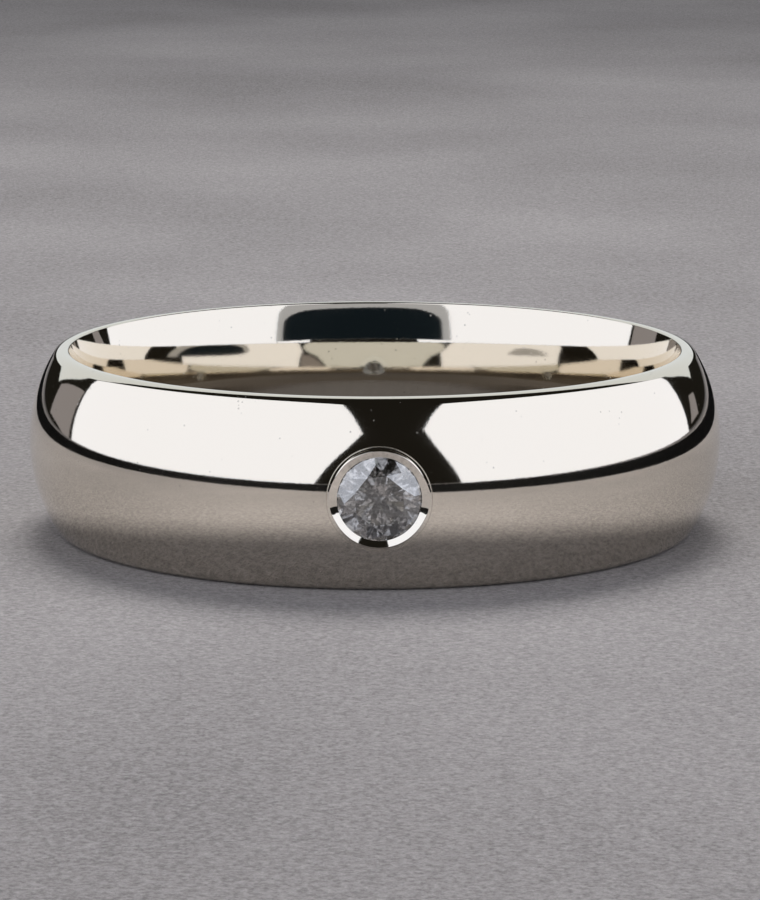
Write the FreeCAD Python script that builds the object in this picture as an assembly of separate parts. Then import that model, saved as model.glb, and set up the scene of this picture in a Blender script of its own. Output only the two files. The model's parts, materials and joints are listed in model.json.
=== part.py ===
"""Court-section wedding band with one round brilliant in a rub-over collet.

Frame: millimetres. The origin is the centre of the finger hole at mid-width, +Z runs along the finger
axis, and the stone faces -Y. The setting is drawn in its own frame, where z is the distance from the
finger axis out along the stone's axis, and is then turned so that its +z points to -Y.
"""
import FreeCAD, Part
import math
import os

V = FreeCAD.Vector

# Band
WIDTH = 6.0                     # along the finger axis
OUTER_R = 11.4                  # to the top of the dome
FINGER_CIRCUMFERENCE = 61.0     # ISO 8653 ring size 61
LAND = 0.5                      # straight crest of the finger hole, at mid-width
CREST_R = 5.0                   # arc that eases the crest into the broad faces each side
CREST_LEAN = 4.0                # degrees a broad face leans where it leaves the crest
FACE_R = 26.0                   # arc of the broad faces
FACE_LEAN = 6.2                 # degrees a broad face leans where the comfort curve takes over
DOME_R = 5.3                    # arc of the outside dome
OUTER_EDGE_R = 0.4              # rounding from the dome to the flat edge
INNER_EDGE_R = 0.08             # rounding from the flat edge to the comfort curve
EDGE_INNER_R = 10.16            # where the flat edge begins, from the finger axis

# Stone
STONE_D = 2.8
TABLE_SHARE = 0.57              # table width corner to corner, of the stone's diameter
CROWN_ANGLE = 34.5
PAVILION_ANGLE = 40.75
GIRDLE = 0.09                   # thickness where facets meet on the girdle
STAR_SHARE = 0.52               # star facet length, of table edge to girdle
LOWER_HALF_SHARE = 0.77         # lower girdle facet length, of girdle to culet
TABLE_TURN = 6.5                # from +X to the middle of the first table edge, about the stone's axis

# Setting
COLLET_R = 1.6
COLLET_HOLE_R = 1.1             # light hole behind the stone
LIP_R = 1.55                    # edge of the lip's bevel round the finger, where it is flush with the dome
LIP_ACROSS_R = 1.5              # the same edge across the band, where it stands proud of the dome
LIP_OPENING_R = 1.3             # edge of the lip over the crown
LIP_SLOPE = 21.0                # bright-cut bevel, falling towards the stone
LIP_THICKNESS = 0.1             # metal over the girdle at the lip's opening
STONE_CLEARANCE = 0.01
SOLDER_GAP = 0.03
SHOULDER_ROOT = 0.1             # how far the shoulder's cone runs on into the metal

# Sizes that follow
HALF = WIDTH / 2
BORE_R = FINGER_CIRCUMFERENCE / (2 * math.pi)
STONE_R = STONE_D / 2
TABLE_R = STONE_R * TABLE_SHARE
HALF_SECTOR = math.radians(22.5)
CROWN_TAN = math.tan(math.radians(CROWN_ANGLE))
PAVILION_TAN = math.tan(math.radians(PAVILION_ANGLE))
LIP_TAN = math.tan(math.radians(LIP_SLOPE))
CROWN_HEIGHT = (STONE_R - TABLE_R) * CROWN_TAN
PAVILION_DEPTH = STONE_R * PAVILION_TAN
HOLE_R = COLLET_R + SOLDER_GAP
LIP_Z = math.sqrt(OUTER_R ** 2 - LIP_R ** 2)
LIP_OPENING_Z = LIP_Z - (LIP_R - LIP_OPENING_R) * LIP_TAN
GIRDLE_TOP = LIP_OPENING_Z - LIP_THICKNESS
GIRDLE_BOTTOM = GIRDLE_TOP - GIRDLE


# ---------------------------------------------------------------- drawing helpers

def at(r, z):
    """A point of a turned section, which is drawn in the XZ plane."""
    return V(r, 0, z)


def on_arc(centre, radius, angle):
    return at(centre[0] + radius * math.cos(angle), centre[1] + radius * math.sin(angle))


def arc(centre, radius, start, end):
    """An arc of the section, from one angle to another, in radians from +X towards +Z."""
    middle = (start + end) / 2
    points = [on_arc(centre, radius, angle) for angle in (start, middle, end)]
    return Part.Arc(*points).toShape()


def turned(edges):
    """The solid swept by a closed section round the Z axis."""
    face = Part.Face(Part.Wire(Part.__sortEdges__(edges)))
    return face.revolve(V(0, 0, 0), V(0, 0, 1), 360)


def tube(outer_r, inner_r, low, high):
    outer = Part.makeCylinder(outer_r, high - low, V(0, 0, low))
    return outer.cut(Part.makeCylinder(inner_r, high - low, V(0, 0, low)))


def faced_forward(shape):
    """A shape of the setting's own frame, turned to point to -Y."""
    turned_shape = shape.copy()
    turned_shape.rotate(V(0, 0, 0), V(1, 0, 0), 90)
    return turned_shape


# ---------------------------------------------------------------- band

def mirrored(edges):
    """The same stretch of the section, below mid-width."""
    return [edge.mirror(V(0, 0, 0), V(0, 0, 1)) for edge in edges]


def land_edge():
    return Part.LineSegment(at(BORE_R, -LAND / 2), at(BORE_R, LAND / 2)).toShape()


def comfort_edges():
    """From the land out to the flat edge: crest, broad face, comfort curve and rounding, all tangent."""
    crest_end, face_end = math.radians(180 - CREST_LEAN), math.radians(180 - FACE_LEAN)
    crest = (BORE_R + CREST_R, LAND / 2)
    start = on_arc(crest, CREST_R, crest_end)
    face = (start.x - FACE_R * math.cos(crest_end), start.z - FACE_R * math.sin(crest_end))
    joint = on_arc(face, FACE_R, face_end)
    rounding = (EDGE_INNER_R, HALF - INNER_EDGE_R)
    rise, run = rounding[0] - joint.x, rounding[1] - joint.z
    overlap = -rise * math.cos(face_end) - run * math.sin(face_end) - INNER_EDGE_R
    radius = (rise ** 2 + run ** 2 - INNER_EDGE_R ** 2) / (2 * overlap)
    curve = (joint.x - radius * math.cos(face_end), joint.z - radius * math.sin(face_end))
    meet = math.atan2(rounding[1] - curve[1], rounding[0] - curve[0])
    return [
        arc(crest, CREST_R, math.pi, crest_end),
        arc(face, FACE_R, crest_end, face_end),
        arc(curve, radius, face_end, meet),
        arc(rounding, INNER_EDGE_R, meet, math.pi / 2),
    ]


def outer_rounding():
    """Centre of the rounding between dome and flat edge, and the angle where the dome meets it."""
    rounding_z = HALF - OUTER_EDGE_R
    reach = math.sqrt((DOME_R - OUTER_EDGE_R) ** 2 - rounding_z ** 2)
    return (OUTER_R - DOME_R + reach, rounding_z), math.atan2(rounding_z, reach)


def rim_edges():
    """The flat edge and the outer rounding."""
    rounding, meet = outer_rounding()
    flat = Part.LineSegment(at(EDGE_INNER_R, HALF), at(rounding[0], HALF)).toShape()
    return [flat, arc(rounding, OUTER_EDGE_R, math.pi / 2, meet)]


def dome_edge():
    meet = outer_rounding()[1]
    return arc((OUTER_R - DOME_R, 0), DOME_R, -meet, meet)


def blank():
    """The hoop before it is drilled."""
    side = comfort_edges() + rim_edges()
    return turned([land_edge(), dome_edge()] + side + mirrored(side))


def make_band():
    drill = faced_forward(Part.makeCylinder(HOLE_R, OUTER_R, V(0, 0, BORE_R - 1)))
    return blank().cut(drill)


# ---------------------------------------------------------------- setting

def lip_shoulder():
    """The steep cone that rounds the lip off where it stands proud, across the band."""
    dome_z = OUTER_R - DOME_R + math.sqrt(DOME_R ** 2 - LIP_R ** 2)
    spread = (LIP_R - LIP_ACROSS_R) / (LIP_Z - dome_z)
    root = dome_z - SHOULDER_ROOT
    top = LIP_Z + SHOULDER_ROOT
    root_r = LIP_R + SHOULDER_ROOT * spread
    top_r = LIP_ACROSS_R - SHOULDER_ROOT * spread
    return faced_forward(Part.makeCone(root_r, top_r, top - root, V(0, 0, root)))


def make_collet():
    """The turned tube, dressed to the band inside and out: light hole, bearing, girdle wall, lip, bevel."""
    seat_r = STONE_R + STONE_CLEARANCE
    bearing_z = GIRDLE_BOTTOM - (seat_r - COLLET_HOLE_R) * bearing_slope()
    low = BORE_R - 1
    outline = [
        at(COLLET_R, LIP_Z + (COLLET_R - LIP_R) * LIP_TAN),
        at(COLLET_R, low),
        at(COLLET_HOLE_R, low),
        at(COLLET_HOLE_R, bearing_z),
        at(seat_r, GIRDLE_BOTTOM),
        at(seat_r, GIRDLE_TOP),
        at(LIP_OPENING_R, LIP_OPENING_Z),
    ]
    edges = [Part.LineSegment(a, b).toShape() for a, b in zip(outline, outline[1:] + outline[:1])]
    return faced_forward(turned(edges)).common(blank().fuse(lip_shoulder()))


def make_solder_seam():
    """The solder between collet and hole, dressed flush with the band inside and out."""
    return faced_forward(tube(HOLE_R, COLLET_R, BORE_R - 1, OUTER_R + 1)).common(blank())


# ---------------------------------------------------------------- stone

def gem_point(radius, angle, z):
    return V(radius * math.cos(angle), radius * math.sin(angle), z)


def lower_half_meet():
    """Radius and height, from the girdle's lower edge, where two lower girdle facets end on the pavilion."""
    radius = STONE_R * (1 - LOWER_HALF_SHARE)
    return radius, radius * math.cos(HALF_SECTOR) * PAVILION_TAN - PAVILION_DEPTH


def bearing_slope():
    """Slope of the cone that the deepest pavilion ridges touch just under the girdle."""
    radius, z = lower_half_meet()
    return -z / (STONE_R - radius)


def ground(stone, a, b, c):
    """The stone with everything beyond the plane through three points taken away."""
    normal = (b - a).cross(c - a).normalize()
    if normal.dot(a - V(0, 0, GIRDLE_TOP - GIRDLE / 2)) < 0:
        normal = -normal
    size = 4 * STONE_R
    waste = Part.makeBox(size, size, size, V(-size / 2, -size / 2, 0))
    waste.Placement = FreeCAD.Placement(a, FreeCAD.Rotation(V(0, 0, 1), normal))
    return stone.cut(waste)


def crown_facets(main, side):
    """Planes of one bezel facet, one star facet and one upper girdle facet beside it."""
    star_r = TABLE_R * math.cos(HALF_SECTOR)
    star_r += STAR_SHARE * (STONE_R - star_r)
    star_z = GIRDLE_TOP + (STONE_R - star_r * math.cos(HALF_SECTOR)) * CROWN_TAN
    table_z = GIRDLE_TOP + CROWN_HEIGHT
    star = main + side * HALF_SECTOR
    star_tip = gem_point(star_r, star, star_z)
    mirrored_tip = gem_point(star_r, 2 * main - star, star_z)
    corner = gem_point(TABLE_R, main, table_z)
    next_corner = gem_point(TABLE_R, 2 * star - main, table_z)
    on_girdle = gem_point(STONE_R, main, GIRDLE_TOP)
    between = gem_point(STONE_R, star, GIRDLE_TOP)
    return [
        (corner, star_tip, mirrored_tip),
        (corner, next_corner, star_tip),
        (on_girdle, between, star_tip),
    ]


def pavilion_facets(main, side):
    """Planes of one pavilion main facet and one lower girdle facet beside it."""
    meet_r, meet_z = lower_half_meet()
    culet = V(0, 0, GIRDLE_BOTTOM - PAVILION_DEPTH)
    between_angle = main + side * HALF_SECTOR
    meet = gem_point(meet_r, between_angle, GIRDLE_BOTTOM + meet_z)
    mirrored_meet = gem_point(meet_r, 2 * main - between_angle, GIRDLE_BOTTOM + meet_z)
    on_girdle = gem_point(STONE_R, main, GIRDLE_BOTTOM)
    between = gem_point(STONE_R, between_angle, GIRDLE_BOTTOM)
    return [(culet, meet, mirrored_meet), (on_girdle, between, meet)]


def make_diamond():
    """A round brilliant, ground from a cylinder one facet at a time."""
    culet_z = GIRDLE_BOTTOM - PAVILION_DEPTH
    height = PAVILION_DEPTH + GIRDLE + CROWN_HEIGHT
    stone = Part.makeCylinder(STONE_R, height, V(0, 0, culet_z))
    first_main = math.radians(TABLE_TURN) + HALF_SECTOR
    for sector in range(8):
        main = first_main + sector * 2 * HALF_SECTOR
        bezel, star, upper = crown_facets(main, 1)
        pavilion, lower = pavilion_facets(main, 1)
        other_upper = crown_facets(main, -1)[2]
        other_lower = pavilion_facets(main, -1)[1]
        for facet in (bezel, star, upper, other_upper, pavilion, lower, other_lower):
            stone = ground(stone, *facet)
    return faced_forward(stone)


# ---------------------------------------------------------------- output

def main():
    os.makedirs("parts", exist_ok=True)
    nodes = {
        "band": make_band(),
        "setting_collet": make_collet(),
        "solder_seam": make_solder_seam(),
        "diamond": make_diamond(),
    }
    for name, shape in nodes.items():
        shape.exportStep(os.path.join("parts", name + ".step"))
        box = shape.BoundBox
        print(name, len(shape.Solids), "solid,", len(shape.Faces), "faces,", round(shape.Volume, 4), "mm3,",
              "X", round(box.XMin, 3), round(box.XMax, 3), "Y", round(box.YMin, 3), round(box.YMax, 3),
              "Z", round(box.ZMin, 3), round(box.ZMax, 3), "valid", shape.isValid())


main()
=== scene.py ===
"""Looks of the wedding band: mirror-polished white gold, a bright-cut collet and a round brilliant.

Everything is in metres, in the row frame: the finger axis is +Z and the stone faces -Y. The band,
collet, solder seam and stone are rebuilt here at the CAD sizes with exact normals, because a mirror
finish shows every facet of a coarser mesh.
"""
import json
import math

import bpy
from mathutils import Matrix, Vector


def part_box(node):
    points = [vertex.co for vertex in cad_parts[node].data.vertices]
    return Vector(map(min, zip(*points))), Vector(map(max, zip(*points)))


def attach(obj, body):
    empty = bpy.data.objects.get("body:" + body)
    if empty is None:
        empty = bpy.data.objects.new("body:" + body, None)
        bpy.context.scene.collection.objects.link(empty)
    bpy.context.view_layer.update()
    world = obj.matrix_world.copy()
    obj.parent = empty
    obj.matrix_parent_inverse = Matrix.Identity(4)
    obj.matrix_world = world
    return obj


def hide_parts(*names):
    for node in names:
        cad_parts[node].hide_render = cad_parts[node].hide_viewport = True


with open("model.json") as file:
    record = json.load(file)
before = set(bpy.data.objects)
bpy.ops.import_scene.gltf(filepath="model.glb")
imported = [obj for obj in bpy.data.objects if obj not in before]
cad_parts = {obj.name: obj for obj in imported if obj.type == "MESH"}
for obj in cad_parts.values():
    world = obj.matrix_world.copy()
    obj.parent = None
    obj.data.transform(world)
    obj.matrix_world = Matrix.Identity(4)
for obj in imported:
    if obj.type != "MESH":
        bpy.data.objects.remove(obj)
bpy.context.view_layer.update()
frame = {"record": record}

MM = 0.001

# ---------------------------------------------------------------- sizes

bore = next(m for m in frame["record"]["mounts"] if m["name"] == "finger_bore")
band_low, band_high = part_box("band")
collet_low, collet_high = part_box("setting_collet")
seam_low, seam_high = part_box("solder_seam")
stone_low, stone_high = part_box("diamond")

# Band
OUTER_R = 11.4 * MM
HALF = band_high.z
BORE_R = bore["dims"]["r_mm"] * MM
HALF_LAND = bore["dims"]["length_mm"] * MM / 2
CREST_R = 5.0 * MM
CREST_END = math.radians(180 - 4.0)
FACE_R = 26.0 * MM
FACE_END = math.radians(180 - 6.2)
DOME_R = 5.3 * MM
OUTER_EDGE_R = 0.4 * MM
INNER_EDGE_R = 0.08 * MM
EDGE_INNER_R = 10.16 * MM

# Setting: heights are distances from the finger axis, along the stone's axis
COLLET_R = collet_high.x
HOLE_R = seam_high.x
LIGHT_HOLE_R = 1.1 * MM
LIP_R = 1.55 * MM
LIP_ACROSS_R = 1.5 * MM
LIP_OPENING_R = 1.3 * MM
LIP_SLOPE = math.tan(math.radians(21.0))
LIP_ROLL = 0.012 * MM           # rounding each side of the lip's edge
LIP_Z = math.sqrt(OUTER_R ** 2 - LIP_R ** 2)
STONE_CLEARANCE = 0.01 * MM
SOLDER_DIP = 0.004 * MM

# Stone
STONE_R = stone_high.x
TABLE_TOP = -stone_low.y
CULET = -stone_high.y
TABLE_R = STONE_R * 0.57
HALF_SECTOR = math.radians(22.5)
CROWN_TAN = math.tan(math.radians(34.5))
PAVILION_TAN = math.tan(math.radians(40.75))
STAR_SHARE = 0.52
LOWER_HALF_SHARE = 0.77
TABLE_TURN = math.radians(6.5)
GIRDLE_TOP = TABLE_TOP - (STONE_R - TABLE_R) * CROWN_TAN
GIRDLE_BOTTOM = CULET + STONE_R * PAVILION_TAN

# Sizes that follow
DOME_CENTRE_R = OUTER_R - DOME_R

# Fineness
BAND_COLUMNS = 512
PATCH_COLUMNS = 16              # each side of the stone, where the band's grid gives way to the hole
PATCH_ROWS = 22
PATCH_LAYERS = 10
SETTING_COLUMNS = 256
SCALLOP_STEPS = 8               # steps along the arc of one girdle facet


# ---------------------------------------------------------------- mesh helpers

class Surface:
    """A mesh under construction, in which each corner of each face can have its own exact normal."""

    def __init__(self):
        self.points = []
        self.faces = []
        self.normals = []
        self.looks = []
        self.known = {}

    def add(self, point):
        self.points.append(Vector(point))
        return len(self.points) - 1

    def corner(self, point):
        """The vertex at a point, which is made the first time it is asked for."""
        key = tuple(round(value / MM, 6) for value in point)
        if key not in self.known:
            self.known[key] = self.add(point)
        return self.known[key]

    def face(self, corners, normals, look=0):
        """Adds a face, turned so that it looks the same way as its normals."""
        around = [self.points[i] for i in corners]
        facing = sum((a.cross(b) for a, b in zip(around, around[1:] + around[:1])), Vector())
        if facing.dot(sum(normals, Vector())) < 0:
            corners, normals = corners[::-1], normals[::-1]
        self.faces.append(corners)
        self.normals.extend(normals)
        self.looks.append(look)

    def build(self, name, *materials, smooth=True):
        mesh = bpy.data.meshes.new(name)
        mesh.from_pydata(self.points, [], self.faces)
        for material in materials:
            mesh.materials.append(material)
        mesh.polygons.foreach_set("material_index", self.looks)
        mesh.polygons.foreach_set("use_smooth", [smooth] * len(self.faces))
        if smooth:
            mesh.normals_split_custom_set([n.normalized() for n in self.normals])
        made = bpy.data.objects.new(name, mesh)
        bpy.context.scene.collection.objects.link(made)
        return made


def straight(start, end, normal, steps):
    """A straight run of a section, as (radius, height, normal) at each step."""
    shares = [i / steps for i in range(steps + 1)]
    across, up = end[0] - start[0], end[1] - start[1]
    return [(start[0] + across * share, start[1] + up * share, normal) for share in shares]


def curved(centre, radius, start, end, steps):
    """A convex arc of a section, from one angle to another, whose normals point away from its centre."""
    run = []
    for i in range(steps + 1):
        angle = start + (end - start) * i / steps
        normal = (math.cos(angle), math.sin(angle))
        run.append((centre[0] + radius * normal[0], centre[1] + radius * normal[1], normal))
    return run


def mirrored(run):
    """The same run below mid-width, in the order that goes on round the section."""
    return [(r, -z, (n[0], -n[1])) for r, z, n in reversed(run)]


# ---------------------------------------------------------------- band

def hole_arcs():
    """Crest, broad face, comfort curve and edge rounding: centre, radius, first and last angle of each."""
    crest = (BORE_R + CREST_R, HALF_LAND)
    slip = FACE_R - CREST_R
    face = (crest[0] - slip * math.cos(CREST_END), crest[1] - slip * math.sin(CREST_END))
    joint = (face[0] + FACE_R * math.cos(FACE_END), face[1] + FACE_R * math.sin(FACE_END))
    edge = (EDGE_INNER_R, HALF - INNER_EDGE_R)
    rise, run = edge[0] - joint[0], edge[1] - joint[1]
    overlap = -rise * math.cos(FACE_END) - run * math.sin(FACE_END) - INNER_EDGE_R
    radius = (rise ** 2 + run ** 2 - INNER_EDGE_R ** 2) / (2 * overlap)
    curve = (joint[0] - radius * math.cos(FACE_END), joint[1] - radius * math.sin(FACE_END))
    meet = math.atan2(edge[1] - curve[1], edge[0] - curve[0])
    return [
        (crest, CREST_R, math.pi, CREST_END),
        (face, FACE_R, CREST_END, FACE_END),
        (curve, radius, FACE_END, meet),
        (edge, INNER_EDGE_R, meet, math.pi / 2),
    ]


HOLE_ARCS = hole_arcs()
HOLE_ARC_STEPS = (4, 12, 16, 8)


def land_run():
    return straight((BORE_R, -HALF_LAND), (BORE_R, HALF_LAND), (-1, 0), 4)


def edge_run():
    """From the land round to the dome: the hole's arcs, the flat edge and the outer rounding."""
    outer_z = HALF - OUTER_EDGE_R
    reach = math.sqrt((DOME_R - OUTER_EDGE_R) ** 2 - outer_z ** 2)
    outer = (DOME_CENTRE_R + reach, outer_z)
    outer_meet = math.atan2(outer_z, reach)
    run = land_run()[-1:]
    for (centre, radius, start, end), steps in zip(HOLE_ARCS, HOLE_ARC_STEPS):
        run += curved(centre, radius, start, end, steps)[1:]
    run += straight((EDGE_INNER_R, HALF), (outer[0], HALF), (0, 1), 2)[1:]
    run += curved(outer, OUTER_EDGE_R, math.pi / 2, outer_meet, 12)[1:]
    return run, outer_meet


def band_section():
    """The closed section, and where on it the middle of the land and of the dome come."""
    land = land_run()
    edge, outer_meet = edge_run()
    dome = curved((DOME_CENTRE_R, 0), DOME_R, outer_meet, -outer_meet, 64)
    section = land[:-1] + edge[:-1] + dome[:-1] + mirrored(edge)[:-1]
    return section, len(land) // 2, len(land) + len(edge) - 2 + len(dome) // 2


def outside_at(x, z):
    """The point and normal of the dome over a place beside the stone's axis."""
    reach = math.sqrt(DOME_R ** 2 - z ** 2)
    radius = DOME_CENTRE_R + reach
    y = -math.sqrt(radius ** 2 - x ** 2)
    return Vector((x, y, z)), Vector((x / radius * reach, y / radius * reach, z)) / DOME_R


def inside_at(x, z):
    """The point and normal of the finger hole's surface over a place beside the stone's axis."""
    radius, lean = BORE_R, 0.0
    for centre, arc_radius, start, end in HOLE_ARCS:
        if abs(z) > centre[1] + arc_radius * math.sin(start):
            lean = math.asin(min((abs(z) - centre[1]) / arc_radius, 1.0))
            radius = centre[0] - arc_radius * math.cos(lean)
    y = -math.sqrt(radius ** 2 - x ** 2)
    inward = math.cos(lean) / radius
    return Vector((x, y, z)), Vector((-x * inward, -y * inward, math.copysign(math.sin(lean), z)))


def patch_loop(grid, middle, way):
    """The grid's vertices round the square that a hole's patch fills, clockwise from -X, +Z."""
    across = range(-PATCH_COLUMNS, PATCH_COLUMNS)
    along = range(-PATCH_ROWS, PATCH_ROWS)
    places = [(-PATCH_ROWS, column) for column in across]
    places += [(row, PATCH_COLUMNS) for row in along]
    places += [(PATCH_ROWS, -column) for column in across]
    places += [(-row, -PATCH_COLUMNS) for row in along]
    return [grid[(middle + way * row) % len(grid)][column % BAND_COLUMNS] for row, column in places]


def in_patch(row, column, middles, rows):
    """Whether the grid's face that starts at this row and column lies where the hole is."""
    if PATCH_COLUMNS <= column < BAND_COLUMNS - PATCH_COLUMNS:
        return False
    steps = [(row - middle + rows // 2) % rows - rows // 2 for middle in middles]
    return any(-PATCH_ROWS <= step < PATCH_ROWS for step in steps)


def hole_patch(surface, loop, angles, surface_at):
    """Faces from a square of the grid in to the drilled hole; returns the hole's edge."""
    ring = loop
    start = [surface.points[i].copy() for i in loop]
    for layer in range(1, PATCH_LAYERS + 1):
        share = layer / PATCH_LAYERS
        inner = []
        for point, angle in zip(start, angles):
            x = point.x + (HOLE_R * math.cos(angle) - point.x) * share
            z = point.z + (HOLE_R * math.sin(angle) - point.z) * share
            inner.append(surface.add(surface_at(x, z)[0]))
        for i, j in zip(range(len(ring)), [*range(1, len(ring)), 0]):
            corners = [ring[i], ring[j], inner[j], inner[i]]
            normals = [surface_at(surface.points[c].x, surface.points[c].z)[1] for c in corners]
            surface.face(corners, normals)
        ring = inner
    return ring


def drilled_wall(surface, outer, inner):
    """The hole's wall, between its edge on the dome and its edge in the finger hole."""
    for i, j in zip(range(len(outer)), [*range(1, len(outer)), 0]):
        corners = [outer[i], outer[j], inner[j], inner[i]]
        surface.face(corners, [Vector((-surface.points[c].x, 0, -surface.points[c].z)) for c in corners])


def make_band(material):
    surface = Surface()
    section, land_middle, dome_middle = band_section()
    turns = [math.tau * column / BAND_COLUMNS for column in range(BAND_COLUMNS)]
    outward = [Vector((math.sin(turn), -math.cos(turn), 0)) for turn in turns]
    grid = [[surface.add(out * r + Vector((0, 0, z))) for out in outward] for r, z, _ in section]
    leaning = [[out * n[0] + Vector((0, 0, n[1])) for out in outward] for _, _, n in section]
    for row in range(len(section)):
        for column in range(BAND_COLUMNS):
            if in_patch(row, column, (land_middle, dome_middle), len(section)):
                continue
            after, beside = (row + 1) % len(section), (column + 1) % BAND_COLUMNS
            places = [(row, column), (row, beside), (after, beside), (after, column)]
            surface.face([grid[r][c] for r, c in places], [leaning[r][c] for r, c in places])
    outer_loop = patch_loop(grid, dome_middle, 1)
    inner_loop = patch_loop(grid, land_middle, -1)
    angles = [math.atan2(surface.points[i].z, surface.points[i].x) for i in outer_loop]
    outer_edge = hole_patch(surface, outer_loop, angles, outside_at)
    inner_edge = hole_patch(surface, inner_loop, angles, inside_at)
    drilled_wall(surface, outer_edge, inner_edge)
    return surface.build("court_band", material)


# ---------------------------------------------------------------- setting

def bore_height(radius, angle):
    """How far from the finger axis the finger hole's surface is, at a place round the stone's axis."""
    return -inside_at(radius * math.cos(angle), radius * math.sin(angle))[0].y


def dome_height(radius, angle):
    return -outside_at(radius * math.cos(angle), radius * math.sin(angle))[0].y


def bevel_height(radius):
    return LIP_Z + (radius - LIP_R) * LIP_SLOPE


def shoulder_height(radius):
    """The steep cone that rounds the lip off where it stands proud, across the band."""
    dome = dome_height(LIP_R, math.pi / 2)
    return LIP_Z - (radius - LIP_ACROSS_R) * (LIP_Z - dome) / (LIP_R - LIP_ACROSS_R)


def crossing(rising, low, high):
    """Where a function that rises through nought crosses it."""
    for _ in range(40):
        middle = (low + high) / 2
        low, high = (low, middle) if rising(middle) > 0 else (middle, high)
    return (low + high) / 2


def swept(surface, runs_at):
    """Skins the closed runs of a section that changes round the stone's axis."""
    step = math.tau / SETTING_COLUMNS
    columns = [runs_at(column * step) for column in range(SETTING_COLUMNS)]
    placed = [
        [[gem_point(r, column * step, h) for r, h in run] for run in runs]
        for column, runs in enumerate(columns)
    ]
    for index in range(len(columns[0])):
        strip = [runs[index] for runs in placed]
        normals = [strip_normals(strip, column) for column in range(SETTING_COLUMNS)]
        for column in range(SETTING_COLUMNS):
            beside = (column + 1) % SETTING_COLUMNS
            for row in range(len(strip[0]) - 1):
                places = [(column, row), (beside, row), (beside, row + 1), (column, row + 1)]
                corners = [surface.corner(strip[c][r]) for c, r in places]
                surface.face(corners, [normals[c][r] for c, r in places])


def strip_normals(strip, column):
    """The normals down one column of a strip, from the points round them."""
    before, here, after = (strip[(column + k) % len(strip)] for k in (-1, 0, 1))
    found = []
    for row in range(len(here)):
        along = here[min(row + 1, len(here) - 1)] - here[max(row - 1, 0)]
        found.append((after[row] - before[row]).cross(along).normalized())
    return found


def line(start, end, steps):
    start, end = Vector(start), Vector(end)
    return [tuple(start.lerp(end, i / steps)) for i in range(steps + 1)]


def rolled(start, corner, end, steps):
    """A rounded corner from start to end."""
    a, b, c = Vector(start), Vector(corner), Vector(end)
    shares = [i / steps for i in range(steps + 1)]
    return [tuple(a * (1 - s) ** 2 + b * 2 * s * (1 - s) + c * s ** 2) for s in shares]


LIP_EDGE_R = crossing(lambda r: bevel_height(r) - shoulder_height(r), LIP_OPENING_R, COLLET_R)


def collet_runs(angle):
    """Outer wall, flush ring, rolled edge, bright-cut bevel, lip, girdle wall, bearing, light hole, end."""
    on_dome = crossing(lambda r: bevel_height(r) - dome_height(r, angle), LIP_OPENING_R, COLLET_R)
    foot = crossing(lambda r: dome_height(r, angle) - shoulder_height(r), LIP_OPENING_R, COLLET_R)
    edge_r = max(on_dome, LIP_EDGE_R)
    foot_r = max(on_dome, foot) + LIP_ROLL
    rim = (COLLET_R, dome_height(COLLET_R, angle))
    foot_point = (foot_r, dome_height(foot_r, angle))
    bevel_start = (edge_r - LIP_ROLL, bevel_height(edge_r - LIP_ROLL))
    seat_r = STONE_R + STONE_CLEARANCE
    meet_r = STONE_R * (1 - LOWER_HALF_SHARE)
    meet_drop = STONE_R * PAVILION_TAN - meet_r * math.cos(HALF_SECTOR) * PAVILION_TAN
    bearing = GIRDLE_BOTTOM - (seat_r - LIGHT_HOLE_R) * meet_drop / (STONE_R - meet_r)
    opening = (LIP_OPENING_R, bevel_height(LIP_OPENING_R))
    outer_end = (COLLET_R, bore_height(COLLET_R, angle))
    inner_end = (LIGHT_HOLE_R, bore_height(LIGHT_HOLE_R, angle))
    return [
        [outer_end, rim],
        line(rim, foot_point, 2),
        rolled(foot_point, (edge_r, bevel_height(edge_r)), bevel_start, 8),
        line(bevel_start, opening, 6),
        line(opening, (seat_r, GIRDLE_TOP), 2),
        line((seat_r, GIRDLE_TOP), (seat_r, GIRDLE_BOTTOM), 2),
        line((seat_r, GIRDLE_BOTTOM), (LIGHT_HOLE_R, bearing), 4),
        [(LIGHT_HOLE_R, bearing), inner_end],
        [inner_end, outer_end],
    ]


def solder_runs(angle):
    """The seam's outer wall, its face in the dome, its inner wall and its face in the finger hole."""
    middle = (COLLET_R + HOLE_R) / 2
    corners = [
        (HOLE_R, bore_height(HOLE_R, angle)),
        (HOLE_R, dome_height(HOLE_R, angle)),
        (COLLET_R, dome_height(COLLET_R, angle)),
        (COLLET_R, bore_height(COLLET_R, angle)),
    ]
    dished = rolled(corners[1], (middle, dome_height(middle, angle) - 2 * SOLDER_DIP), corners[2], 4)
    return [[corners[0], corners[1]], dished, [corners[2], corners[3]], [corners[3], corners[0]]]


def make_setting_piece(name, runs_at, material):
    surface = Surface()
    swept(surface, runs_at)
    return surface.build(name, material)


# ---------------------------------------------------------------- stone

def gem_point(radius, angle, height):
    """A point of the stone, from its radius, its angle from +X towards +Z and its height."""
    return Vector((radius * math.cos(angle), -height, radius * math.sin(angle)))


def scallop(start, end, height, tip):
    """Points along the girdle from one angle to another, where the plane through the ends and tip cuts it."""
    first, last = gem_point(STONE_R, start, height), gem_point(STONE_R, end, height)
    normal = (last - first).cross(tip - first)
    points = []
    for step in range(SCALLOP_STEPS + 1):
        angle = start + (end - start) * step / SCALLOP_STEPS
        point = gem_point(STONE_R, angle, height)
        point.y -= normal.dot(point - first) / normal.y
        points.append(point)
    return points


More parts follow.
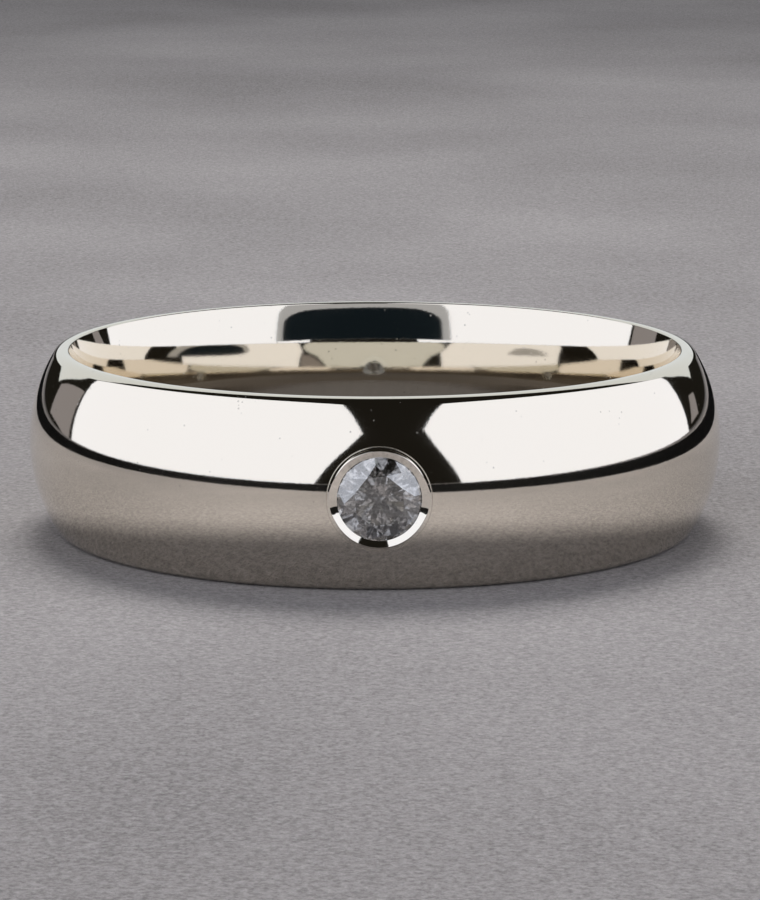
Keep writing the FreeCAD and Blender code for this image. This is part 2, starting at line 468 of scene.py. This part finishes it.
def make_stone(table, crown, girdle, pavilion):
    """The brilliant's 57 facets and its frosted girdle, with a look for each part."""
    surface = Surface()

    def facet(points, look):
        middle = sum(points, Vector()) / len(points)
        a, b, c = points[0], points[1], points[-1]
        normal = (b - a).cross(c - a).normalized()
        axis_point = Vector((0, -(GIRDLE_TOP + GIRDLE_BOTTOM) / 2, 0))
        if normal.dot(middle - axis_point) < 0:
            normal = -normal
        surface.face([surface.corner(p) for p in points], [normal] * len(points), look)

    flat = TABLE_R * math.cos(HALF_SECTOR)
    star_r = flat + STAR_SHARE * (STONE_R - flat)
    star_height = GIRDLE_TOP + (STONE_R - star_r * math.cos(HALF_SECTOR)) * CROWN_TAN
    meet_r = STONE_R * (1 - LOWER_HALF_SHARE)
    meet_height = CULET + meet_r * math.cos(HALF_SECTOR) * PAVILION_TAN
    culet = gem_point(0, 0, CULET)
    mains = [TABLE_TURN + HALF_SECTOR * (2 * sector + 1) for sector in range(8)]
    facet([gem_point(TABLE_R, main, TABLE_TOP) for main in mains], 0)
    for main in mains:
        table_corner = gem_point(TABLE_R, main, TABLE_TOP)
        next_corner = gem_point(TABLE_R, main + 2 * HALF_SECTOR, TABLE_TOP)
        tips = [gem_point(star_r, main + side * HALF_SECTOR, star_height) for side in (-1, 1)]
        meets = [gem_point(meet_r, main + side * HALF_SECTOR, meet_height) for side in (-1, 1)]
        facet([table_corner, tips[0], gem_point(STONE_R, main, GIRDLE_TOP), tips[1]], 1)
        facet([table_corner, tips[1], next_corner], 1)
        facet([culet, meets[0], gem_point(STONE_R, main, GIRDLE_BOTTOM), meets[1]], 3)
        for side, tip, meet in zip((-1, 1), tips, meets):
            between = main + side * HALF_SECTOR
            upper = scallop(main, between, GIRDLE_TOP, tip)
            lower = scallop(main, between, GIRDLE_BOTTOM, meet)
            facet([tip, *upper], 1)
            facet([meet, *lower], 3)
            for i in range(SCALLOP_STEPS):
                facet([upper[i], upper[i + 1], lower[i + 1], lower[i]], 2)
    return surface.build("round_brilliant", table, crown, girdle, pavilion, smooth=False)


# ---------------------------------------------------------------- materials

class Nodes:
    """Builds a node tree: each call adds a node, fills its sockets and returns it."""

    def __init__(self, owner):
        owner.use_nodes = True
        self.tree = owner.node_tree
        self.tree.nodes.clear()

    def add(self, kind, *ordered, using=None, **named):
        node = self.tree.nodes.new("ShaderNode" + kind)
        for setting, value in (using or {}).items():
            setattr(node, setting, value)
        sockets = list(enumerate(ordered)) + [(label.replace("_", " "), v) for label, v in named.items()]
        for socket, value in sockets:
            if isinstance(value, bpy.types.NodeSocket):
                self.tree.links.new(value, node.inputs[socket])
            elif value is not None:
                node.inputs[socket].default_value = value
        return node

    def maths(self, operation, *values):
        return self.add("Math", *values, using={"operation": operation}).outputs[0]

    def output(self, kind, shader):
        self.add("Output" + kind, shader.outputs[0])


def new_material(name):
    material = bpy.data.materials.new(name)
    return material, Nodes(material)


def ramped(nodes, value, low, high, start=0.0, end=1.0):
    """Maps a value from one range to another, and holds it at the ends."""
    return nodes.add("MapRange", value, low, high, start, end).outputs[0]


def polished_gold(name, colour, roughness, wear):
    """Rhodium-free white gold: a warm mirror with buffing marks, tiny pits and a little haze."""
    material, nodes = new_material(name)
    place = nodes.add("TexCoord").outputs["Object"]
    cloud = nodes.add("TexNoise", place, Scale=420.0, Detail=3.0).outputs[0]
    grain = nodes.add("TexNoise", place, Scale=16000.0, Detail=2.0).outputs[0]
    pits = nodes.add("TexVoronoi", place, Scale=3800.0).outputs[0]
    pit = ramped(nodes, pits, 0.06, 0.16, 1.0, 0.0)
    sparse = ramped(nodes, nodes.add("TexNoise", place, Scale=900.0).outputs[0], 0.55, 0.62)
    speck = nodes.maths("MULTIPLY", nodes.maths("MULTIPLY", pit, sparse), wear)
    darker = tuple(channel * 0.6 for channel in colour[:3]) + (1.0,)
    tone = nodes.add("Mix", using={"data_type": "RGBA"})
    tone.inputs[6].default_value = colour
    tone.inputs[7].default_value = darker
    nodes.tree.links.new(speck, tone.inputs[0])
    haze = ramped(nodes, cloud, 0.3, 0.7, roughness * 0.8, roughness * 1.25)
    rough = nodes.maths("ADD", haze, nodes.maths("MULTIPLY", speck, 0.35))
    relief = nodes.add("Bump", 0.004, 0.0001, Height=grain).outputs[0]
    shader = nodes.add(
        "BsdfPrincipled", Base_Color=tone.outputs[2], Metallic=1.0, Roughness=rough, Normal=relief
    )
    nodes.output("Material", shader)
    return material


DIAMOND_IOR = 2.417
COAT_IOR = 2.4


def gem_material(name, clear, cloudy, roughness=0.0, coat=0.0, unevenness=0.0):
    """Diamond with grey clouds and crystals on a tint given for each facet group; a darker tint is painted
    shade. An uneven surface breaks up what it reflects inside.
    """
    material, nodes = new_material(name)
    place = nodes.add("TexCoord").outputs["Object"]
    cloud = nodes.add("TexNoise", place, Scale=3600.0, Detail=4.0, Roughness=0.7).outputs[0]
    crystals = nodes.add("TexVoronoi", place, Scale=8500.0).outputs[0]
    fine = nodes.add("TexNoise", place, Scale=5000.0, Detail=2.0).outputs[0]
    share = nodes.maths("MAXIMUM", ramped(nodes, cloud, 0.46, 0.58), ramped(nodes, crystals, 0.30, 0.16))
    # the clear colour is the facet group's tint: set darker than the pavilion's, it is painted shade; the
    # cloudy colour is the inclusions'
    tint = nodes.add("Mix", using={"data_type": "RGBA"})
    nodes.tree.links.new(share, tint.inputs[0])
    tint.inputs[6].default_value = clear
    tint.inputs[7].default_value = cloudy
    relief = nodes.add("Bump", unevenness, 0.00002, Height=fine).outputs[0]
    shader = nodes.add(
        "BsdfPrincipled", Base_Color=tint.outputs[2], Roughness=roughness, IOR=DIAMOND_IOR,
        Transmission_Weight=1.0, Coat_Weight=coat, Coat_Roughness=0.0, Coat_IOR=COAT_IOR, Normal=relief
    )
    nodes.output("Material", shader)
    return material


# ---------------------------------------------------------------- stage

TENT_R = 0.45
BACKDROP_R = 0.6
HORIZON = 91                    # slant of the side panels' lower edge, just under level
FLOOR_GAP = 0.005 * MM
FLOOR_HALF = 0.9
LENS_Y = -3.0 * MM               # the lens card stands over the finger hole, in front of its middle
LENS_STEPS = 8                  # steps round each corner of the lens card
FLAG_R = 46 * MM
FLAG_DRIFT = 8 * MM             # how much nearer the strip comes on the right
FLAG_DENT = 4 * MM              # how much nearer it comes in front of the stone
FLAG_DENT_WIDTH = math.radians(24)
FLAG_HEIGHT = 3.1 * MM
RING_STEPS = 64
KEY_HEIGHT = math.radians(58)
KEY_DISTANCE = 0.5
KEY_SIZE = 0.26
KEY_SPREAD = math.radians(56)
KEY_POWER = 0.45
KEY_AIM = Vector((0, -0.03, 0))
CAMERA_HEIGHT = math.radians(10.05)
CAMERA_TURN = math.radians(-0.7)
CAMERA_DISTANCE = 12 * OUTER_R
CAMERA_AIM = Vector((0.17, 0, -0.5)) * MM
CAMERA_LENS = 165.1


def toward(across, ahead):
    """The direction whose slant from straight up is (across, ahead) degrees: +X is across, -Y ahead."""
    slant = math.hypot(across, ahead)
    lean = math.sin(math.radians(slant)) / slant
    return Vector((across * lean, -ahead * lean, math.cos(math.radians(slant))))


def through(points, share):
    """The point at a share of the way along a smooth curve through some points."""
    place = share * (len(points) - 1)
    start = min(int(place), len(points) - 2)
    t = place - start
    a, b, c, d = (Vector(points[min(max(start + k, 0), len(points) - 1)]) for k in (-1, 0, 1, 2))
    square, cube = 2 * a - 5 * b + 4 * c - d, 3 * b - a - 3 * c + d
    return 0.5 * (2 * b + (c - a) * t + square * t ** 2 + cube * t ** 3)


def tent_side(name, outer, inner, front, back, radius, material, columns=40, rows=12):
    """A sheet of the light tent, stretched between four edges that are given as slants from straight up."""
    points = []
    for row in range(rows + 1):
        v = row / rows
        for column in range(columns + 1):
            u = column / columns
            flat = through(outer, u) * (1 - v) + through(inner, u) * v
            flat += through(front, v) * (1 - u) + through(back, v) * u
            flat -= (Vector(outer[0]) * (1 - u) + Vector(outer[-1]) * u) * (1 - v)
            flat -= (Vector(inner[0]) * (1 - u) + Vector(inner[-1]) * u) * v
            points.append(toward(*flat) * radius)
    wide = columns + 1
    starts = [row * wide + column for row in range(rows) for column in range(columns)]
    mesh = bpy.data.meshes.new(name)
    mesh.from_pydata(points, [], [(i, i + 1, i + wide + 1, i + wide) for i in starts])
    mesh.materials.append(material)
    return staged(name, mesh)


def staged(name, mesh):
    made = bpy.data.objects.new(name, mesh)
    bpy.context.scene.collection.objects.link(made)
    return made


def glow(name, colour, strength):
    material, nodes = new_material(name)
    nodes.output("Material", nodes.add("Emission", colour, strength))
    return material


def horizon_arc(start, end, steps=6):
    """The lower edge of a side panel: an arc along the horizon, from one bearing to another."""
    bearings = [math.radians(start + (end - start) * step / steps) for step in range(steps + 1)]
    return [(HORIZON * math.sin(bearing), HORIZON * math.cos(bearing)) for bearing in bearings]


def side_panel(name, start, end, bow, upper_edge, material):
    """A tall curved panel that stands on the horizon, with its front edge bowed a little."""
    low = horizon_arc(start, end)
    front = [low[0], bow, upper_edge[0]]
    back = [low[-1], upper_edge[-1]]
    return tent_side(name, low, upper_edge, front, back, TENT_R, material)


def grey_card(name, corners, material):
    high_front, high_back, low_front, low_back = corners
    return tent_side(name, [high_front, high_back], [low_front, low_back], [high_front, low_front],
                     [high_back, low_back], TENT_R, material)


def make_ceiling(material):
    """A pale sheet over the back, the same on both sides of the middle, with rounded front corners."""
    right = [(14, -34), (33, -33), (51, -33), (56, -46), (50, -66)]
    left = [(-across, ahead) for across, ahead in right]
    return tent_side("ceiling", left, right, [left[0], right[0]], [left[-1], (0, -89), right[-1]],
                     BACKDROP_R, material)


def make_tent():
    """Two white sides with a dark slot in front, a paler ceiling, and grey cards at the back corners."""
    white = glow("tent_light", (0.876, 0.909, 1.0, 1), 1.24)
    pale = glow("ceiling_light", (0.93, 0.98, 1.0, 1), 0.78)
    grey = glow("grey_card", (1.0, 0.94, 0.97, 1), 0.27)
    left_edge = [(-5, 56), (-11, 32), (-26, 4), (-44, -20), (-59, -38)]
    right_edge = [(16, 52), (20, 30), (35, -2), (50, -25), (58, -44)]
    sides = [
        side_panel("tent_left", -20, -118, (-12, 66), left_edge, white),
        side_panel("tent_right", 27, 125, (24, 64), right_edge, white),
        make_ceiling(pale),
        grey_card("left_card", [(-62, -40), (-53, -62), (-80, -46), (-59, -67)], grey),
        grey_card("right_card", [(60, -57), (56, -63), (70, -55), (62, -64)], grey),
    ]
    for side in sides:
        side.visible_camera = False


def one_sided(name, colour, strength):
    """A glow that shows from the front of a card only; on the lens cards it is a painted reflection."""
    material, nodes = new_material(name)
    behind = nodes.add("NewGeometry").outputs["Backfacing"]
    shine = nodes.add("Emission", colour, strength).outputs[0]
    clear = nodes.add("BsdfTransparent").outputs[0]
    nodes.output("Material", nodes.add("MixShader", behind, shine, clear))
    return material


def lens_card(name, left, right, high, corner, y, material):
    """A round-cornered card over the finger hole, facing the far wall, which only reflections show: a painted
    reflection of the camera, as that wall sees it.
    """
    low = HALF + 0.05 * MM
    points = [(right, low), (right, high - corner)]
    for step in range(1, LENS_STEPS + 1):
        turn = math.pi / 2 * step / LENS_STEPS
        points.append((right - corner * (1 - math.cos(turn)), high - corner * (1 - math.sin(turn))))
    for step in range(LENS_STEPS + 1):
        turn = math.pi / 2 * (1 + step / LENS_STEPS)
        points.append((left + corner * (1 + math.cos(turn)), high - corner * (1 - math.sin(turn))))
    points.append((left, low))
    mesh = bpy.data.meshes.new(name)
    mesh.from_pydata([(x, y, z) for x, z in points], [], [tuple(reversed(range(len(points))))])
    mesh.materials.append(material)
    card = staged(name, mesh)
    card.visible_camera = False
    card.visible_diffuse = False
    card.visible_shadow = False
    card.visible_transmission = False


def make_lens():
    """Painted reflections: the dark shape in the far wall's upper half, and the paler frame round it, which
    lights nothing.
    """
    # painted reflection: a near-black glow where the far wall mirrors the camera
    black = one_sided("painted_lens_reflection", (0.45, 0.75, 1.0, 1), 0.014)
    # painted reflection: a pale glow for the frame round it, which lights nothing
    halo = one_sided("painted_halo_reflection", (0.90, 0.93, 1.0, 1), 0.48)
    lens_card("lens", -4.1 * MM, 6.0 * MM, 8.4 * MM, 2.2 * MM, LENS_Y, black)
    lens_card("lens_surround", -4.8 * MM, 6.7 * MM, 11.0 * MM, 3.0 * MM, LENS_Y - 0.1 * MM, halo)


def make_flags():
    """A low black strip standing round the ring, which only reflections show."""
    material, nodes = new_material("black_flag")
    nodes.output("Material", nodes.add("BsdfDiffuse", (0.01, 0.01, 0.01, 1)))
    points = []
    for step in range(RING_STEPS + 1):
        turn = math.tau * (step / RING_STEPS - 0.5)
        near = math.exp(-(turn / FLAG_DENT_WIDTH) ** 2)
        radius = FLAG_R - FLAG_DRIFT * math.sin(turn) - FLAG_DENT * near
        out = Vector((math.sin(turn), -math.cos(turn), 0)) * radius
        points += [out + Vector((0, 0, -HALF)), out + Vector((0, 0, FLAG_HEIGHT - HALF))]
    starts = range(0, 2 * RING_STEPS, 2)
    mesh = bpy.data.meshes.new("black_flag")
    mesh.from_pydata(points, [], [(i, i + 2, i + 3, i + 1) for i in starts])
    mesh.materials.append(material)
    flag = staged("black_flag", mesh)
    flag.visible_camera = False
    flag.visible_diffuse = False
    flag.visible_shadow = False


def make_key():
    """A broad soft light behind and above, which the metal doesn't mirror."""
    data = bpy.data.lights.new("key", "AREA")
    data.shape = "DISK"
    data.size = KEY_SIZE
    data.spread = KEY_SPREAD
    data.energy = KEY_POWER
    key = bpy.data.objects.new("key", data)
    bpy.context.scene.collection.objects.link(key)
    key.location = Vector((0, math.cos(KEY_HEIGHT), math.sin(KEY_HEIGHT))) * KEY_DISTANCE
    key.rotation_euler = (KEY_AIM - key.location).to_track_quat("-Z", "Y").to_euler()
    key.visible_glossy = False
    key.visible_transmission = False


def make_scrim():
    """A net over the finger hole, which keeps the floor inside the ring dim."""
    material, nodes = new_material("scrim")
    black = nodes.add("BsdfDiffuse", (0.01, 0.01, 0.01, 1)).outputs[0]
    clear = nodes.add("BsdfTransparent").outputs[0]
    nodes.output("Material", nodes.add("MixShader", 0.25, black, clear))
    turns = [math.tau * step / RING_STEPS for step in range(RING_STEPS)]
    z = HALF + 0.02 * MM
    points = [(EDGE_INNER_R * math.cos(turn), EDGE_INNER_R * math.sin(turn), z) for turn in turns]
    mesh = bpy.data.meshes.new("scrim")
    mesh.from_pydata(points, [], [tuple(range(RING_STEPS))])
    mesh.materials.append(material)
    net = staged("scrim", mesh)
    net.visible_camera = False
    net.visible_glossy = False
    net.visible_transmission = False


def make_floor():
    material, nodes = new_material("pale_floor")
    place = nodes.add("TexCoord").outputs["Object"]
    grain = nodes.add("TexNoise", place, Scale=6500.0, Detail=5.0, Roughness=0.65).outputs[0]
    drift = nodes.add("TexNoise", place, Scale=35.0, Detail=2.0).outputs[0]
    tone = nodes.add("Mix", using={"data_type": "RGBA"})
    grains, drifts = ramped(nodes, grain, 0.3, 0.7, 0.0, 0.7), ramped(nodes, drift, 0.3, 0.7, 0.0, 0.3)
    blend = nodes.maths("ADD", grains, drifts)
    nodes.tree.links.new(blend, tone.inputs[0])
    tone.inputs[6].default_value = (0.17, 0.159, 0.157, 1)
    tone.inputs[7].default_value = (0.44, 0.413, 0.406, 1)
    relief = nodes.add("Bump", 0.8, 0.0002, Height=grain).outputs[0]
    nodes.output("Material", nodes.add("BsdfDiffuse", tone.outputs[2], 0.5, relief))
    z = -HALF - FLOOR_GAP
    mesh = bpy.data.meshes.new("floor")
    corners = [(-1, -1), (1, -1), (1, 1), (-1, 1)]
    mesh.from_pydata([(x * FLOOR_HALF, y * FLOOR_HALF, z) for x, y in corners], [], [(0, 1, 2, 3)])
    mesh.materials.append(material)
    staged("floor", mesh)


def make_world():
    """Dark round the tent, and pale where the camera sees past the floor."""
    world = bpy.data.worlds.new("studio")
    bpy.context.scene.world = world
    nodes = Nodes(world)
    seen = nodes.add("LightPath").outputs["Is Camera Ray"]
    dark = nodes.add("Background", (0.011, 0.010, 0.008, 1), 1.0).outputs[0]
    pale = nodes.add("Background", (0.42, 0.40, 0.40, 1), 1.0).outputs[0]
    nodes.output("World", nodes.add("MixShader", seen, dark, pale))


def make_camera():
    """A long lens, ten degrees up and a little left of the stone."""
    data = bpy.data.cameras.new("camera")
    camera = bpy.data.objects.new("camera", data)
    bpy.context.scene.collection.objects.link(camera)
    level = math.cos(CAMERA_HEIGHT)
    back = Vector((math.sin(CAMERA_TURN) * level, -math.cos(CAMERA_TURN) * level, math.sin(CAMERA_HEIGHT)))
    camera.location = back * CAMERA_DISTANCE
    camera.rotation_euler = (CAMERA_AIM - camera.location).to_track_quat("-Z", "Y").to_euler()
    data.lens = CAMERA_LENS
    data.clip_start = 10 * MM
    data.clip_end = 5.0
    bpy.context.scene.camera = camera


def set_looks():
    scene = bpy.context.scene
    scene.view_settings.view_transform = "Standard"
    scene.cycles.max_bounces = 24
    scene.cycles.glossy_bounces = 12
    scene.cycles.transmission_bounces = 24
    scene.cycles.diffuse_bounces = 4
    scene.cycles.use_denoising = True


# ---------------------------------------------------------------- the ring

def place(piece, node, slot):
    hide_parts(node)
    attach(piece, "root")


gold = polished_gold("white_gold_polished", (0.83, 0.77, 0.675, 1), 0.045, 0.8)
bright = polished_gold("white_gold_bright_cut", (0.85, 0.80, 0.715, 1), 0.03, 0.3)
satin = polished_gold("white_gold_solder", (0.72, 0.66, 0.56, 1), 0.22, 0.2)
# Lit and shaded copies of one stone: the table's, crown's and girdle's greyer tints against the pavilion's,
# and the table's near-black clouds, are painted shade; the grey clouds and crystals are inclusions
table = gem_material("diamond_table", (0.44, 0.42, 0.40, 1), (0.015, 0.015, 0.015, 1))
crown = gem_material("diamond_crown", (0.62, 0.62, 0.63, 1), (0.14, 0.14, 0.14, 1), coat=1.0)
girdle = gem_material("diamond_girdle", (0.60, 0.60, 0.60, 1), (0.30, 0.30, 0.30, 1), roughness=0.45)
pavilion = gem_material("diamond_pavilion", (0.90, 0.90, 0.90, 1), (0.12, 0.12, 0.12, 1), unevenness=0.008)
stone_looks = (table, crown, girdle, pavilion)

place(make_band(gold), "band", "white_gold_band")
place(make_setting_piece("rub_over_collet", collet_runs, bright), "setting_collet", "white_gold_collet")
place(make_setting_piece("solder_ring", solder_runs, satin), "solder_seam", "white_gold_solder")
place(make_stone(*stone_looks), "diamond", "diamond")

make_floor()
make_tent()
make_key()
make_lens()
make_scrim()
make_flags()
make_world()
make_camera()
set_looks()
